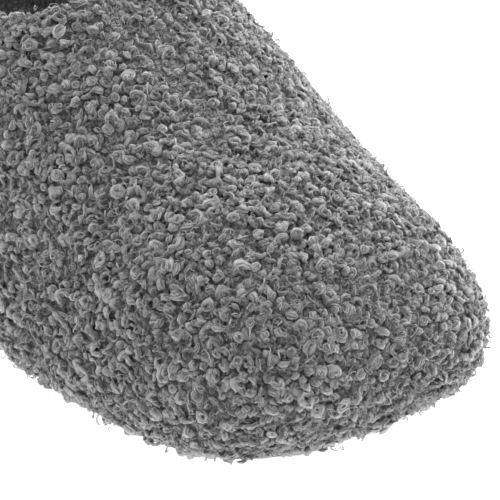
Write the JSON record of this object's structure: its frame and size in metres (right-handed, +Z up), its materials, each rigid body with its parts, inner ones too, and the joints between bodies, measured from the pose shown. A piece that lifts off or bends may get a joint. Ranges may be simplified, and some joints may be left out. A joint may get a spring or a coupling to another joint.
{
  "type": "plush slipper",
  "caption": "Right-foot closed-back plush slipper: hollow curly fleece upper, padded insole and a thin rubber outsole with tread bars and toe spring.",
  "frame": {"origin": "centre of the overall box, on the floor under the tread", "axes": "+Z up, toe towards -Y and heel towards +Y, +X to the inner (medial) side of a right foot"},
  "size_m": [0.109, 0.272, 0.0843],
  "materials": {
    "fleece": "curly fleece pile, matt",
    "footbed": "short plush, matt",
    "sole_rubber": "matt"
  },
  "bodies": {
    "root": {"upper": "fleece", "insole": "footbed", "outsole": "sole_rubber"}
  },
  "joints": []
}
